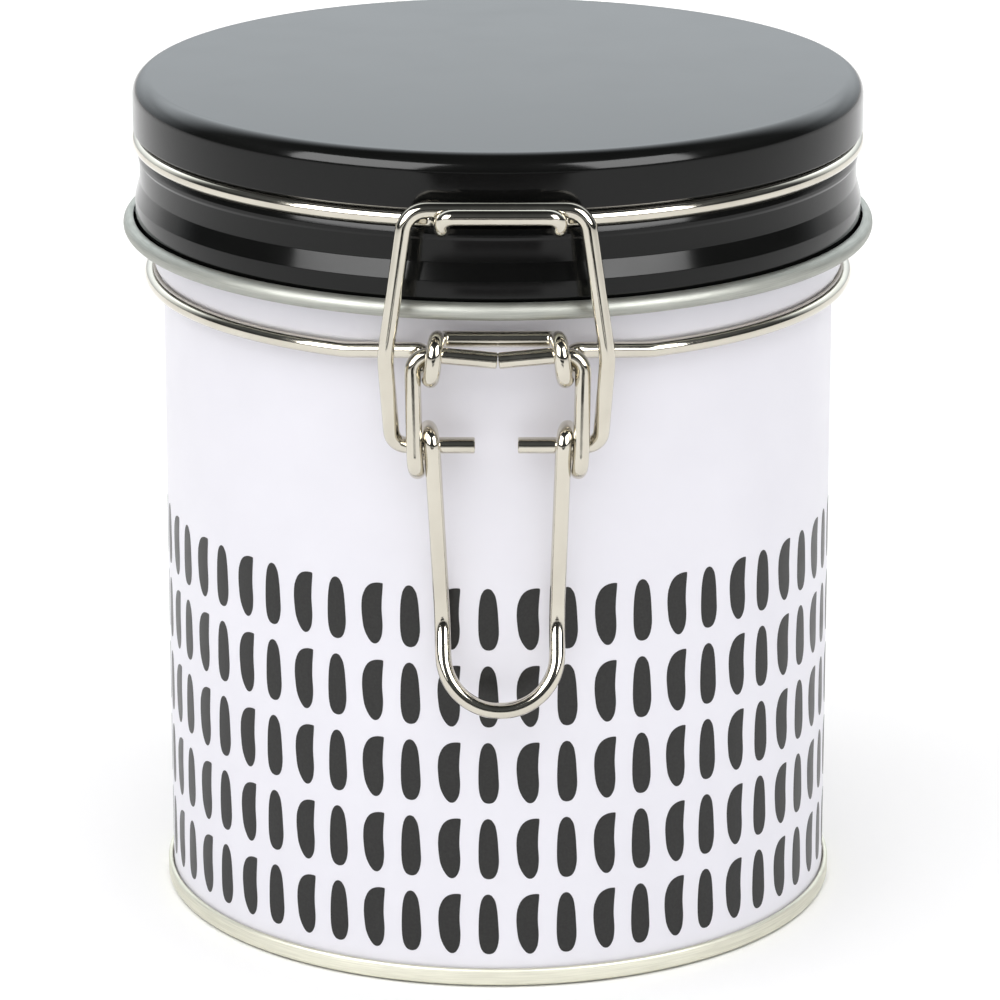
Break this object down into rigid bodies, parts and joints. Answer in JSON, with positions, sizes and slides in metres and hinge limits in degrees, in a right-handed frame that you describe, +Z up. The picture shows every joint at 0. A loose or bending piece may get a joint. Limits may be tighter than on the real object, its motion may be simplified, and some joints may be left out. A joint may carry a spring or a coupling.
{
  "type": "coffee tin",
  "caption": "Round lacquered tin with a hinged lid, closed by a wire bail and an over-centre wire lever, with rows of printed bean shapes round its lower half.",
  "frame": {"origin": "centre of the base, on the surface that the tin stands on", "axes": "+Z up along the tin's axis, -Y towards the clasp, +Y towards the hinge, +X to the right seen from the clasp side"},
  "size_m": [0.1106, 0.1198, 0.124],
  "materials": {
    "white_lacquer": "satin white lacquer on tinplate, with a dark grey bean print",
    "bare_tinplate": "matte bare tinplate",
    "black_lacquer": "gloss black lacquer on tinplate, bare at the rolled edge",
    "nickel_wire": "bright nickel plating",
    "gasket_rubber": "matte translucent silicone"
  },
  "bodies": {
    "tin": {"body_shell": "white_lacquer", "bottom_end": "bare_tinplate", "body_wire": "nickel_wire"},
    "lid": {"lid_shell": "black_lacquer", "lid_gasket": "gasket_rubber", "lid_wire": "nickel_wire"},
    "lever": {"clasp_lever": "nickel_wire"},
    "bail": {"clasp_bail": "nickel_wire"}
  },
  "joints": [
    {"name": "lid_hinge", "type": "hinge", "parent": "tin", "child": "lid", "pos_m": [0, 0.05632, 0.0968], "axis": [-1, 0, 0], "range_deg": [0, 105]},
    {"name": "lever_pivot", "type": "hinge", "parent": "tin", "child": "lever", "pos_m": [0, -0.0549, 0.0959], "axis": [-1, 0, 0], "range_deg": [0, 75]},
    {"name": "bail_swing", "type": "hinge", "parent": "lever", "child": "bail", "pos_m": [0, -0.0533, 0.0825], "axis": [-1, 0, 0], "range_deg": [-150, 0]}
  ],
  "couplings": [
    {"joint": "bail_swing", "follows": "lever_pivot", "ratio": -2}
  ]
}
